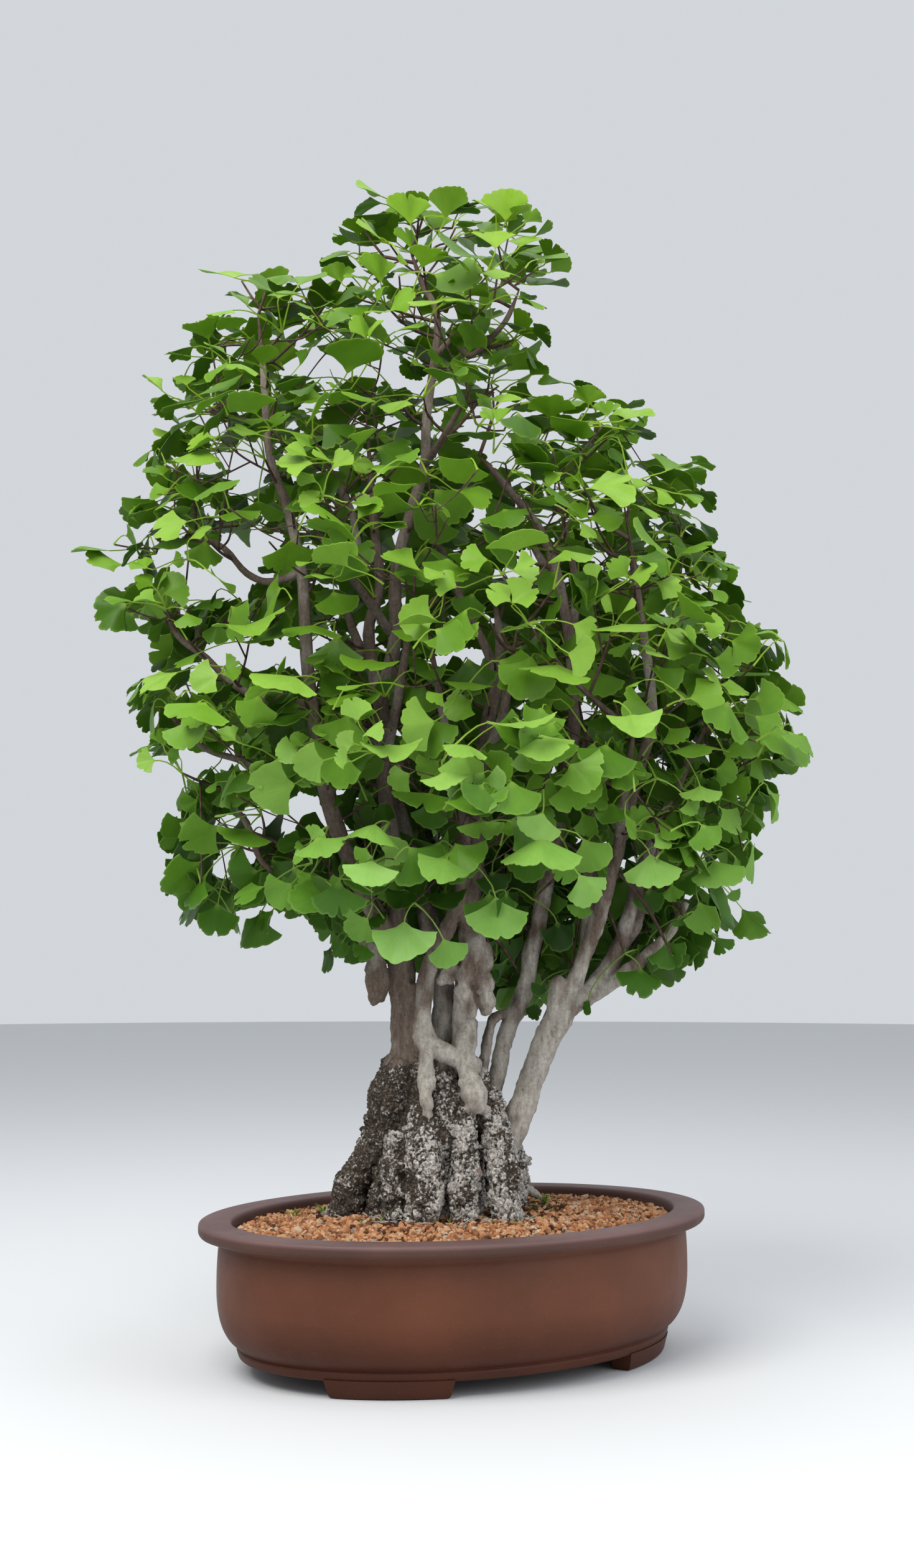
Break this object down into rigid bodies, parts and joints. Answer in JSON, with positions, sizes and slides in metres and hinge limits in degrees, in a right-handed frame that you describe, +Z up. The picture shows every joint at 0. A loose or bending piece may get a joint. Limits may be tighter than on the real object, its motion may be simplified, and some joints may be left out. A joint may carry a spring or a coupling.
{
  "type": "ginkgo bonsai",
  "caption": "Ginkgo bonsai with a rugged root base, upright stems and a full crown of fan-shaped leaves, planted in an oval unglazed footed pot.",
  "frame": {"origin": "on the surface the pot's feet stand on, under the middle of the whole plant's plan outline", "axes": "+Z up, +X along the pot's long axis, +Y along its short axis; the tree's front view is seen from 33 degrees left of -Y"},
  "size_m": [0.5764, 0.4649, 0.9609],
  "materials": {
    "clay": "matte",
    "soil": "matte",
    "bark": "matte",
    "leaves": "satin",
    "weeds": "satin",
    "screen": "matte",
    "wire": "satin"
  },
  "bodies": {
    "root": {"pot": "clay", "soil": "soil", "trunk_and_branches": "bark", "drainage_screen_left": "screen", "screen_wire_left": "wire", "drainage_screen_right": "screen", "screen_wire_right": "wire", "leaf_cluster_01": "leaves", "leaf_cluster_02": "leaves", "leaf_cluster_03": "leaves", "leaf_cluster_04": "leaves", "leaf_cluster_05": "leaves", "leaf_cluster_06": "leaves", "leaf_cluster_07": "leaves", "leaf_cluster_08": "leaves", "leaf_cluster_09": "leaves", "leaf_cluster_10": "leaves", "leaf_cluster_11": "leaves", "leaf_cluster_12": "leaves", "leaf_cluster_13": "leaves", "leaf_cluster_14": "leaves", "leaf_cluster_15": "leaves", "leaf_cluster_16": "leaves", "leaf_cluster_17": "leaves", "leaf_cluster_18": "leaves", "leaf_cluster_19": "leaves", "leaf_cluster_20": "leaves", "leaf_cluster_21": "leaves", "leaf_cluster_22": "leaves", "leaf_cluster_23": "leaves", "leaf_cluster_24": "leaves", "leaf_cluster_25": "leaves", "leaf_cluster_26": "leaves", "leaf_cluster_27": "leaves", "leaf_cluster_28": "leaves", "leaf_cluster_29": "leaves", "leaf_cluster_30": "leaves", "leaf_cluster_31": "leaves", "leaf_cluster_32": "leaves", "leaf_cluster_33": "leaves", "leaf_cluster_34": "leaves", "leaf_cluster_35": "leaves", "leaf_cluster_36": "leaves", "leaf_cluster_37": "leaves", "leaf_cluster_38": "leaves", "leaf_cluster_39": "leaves", "leaf_cluster_40": "leaves", "leaf_cluster_41": "leaves", "leaf_cluster_42": "leaves", "leaf_cluster_43": "leaves", "leaf_cluster_44": "leaves", "leaf_cluster_45": "leaves", "leaf_cluster_46": "leaves", "leaf_cluster_47": "leaves", "leaf_cluster_48": "leaves", "leaf_cluster_49": "leaves", "leaf_cluster_50": "leaves", "weed_left": "weeds", "weed_by_root": "weeds", "weed_right": "weeds"}
  },
  "joints": []
}
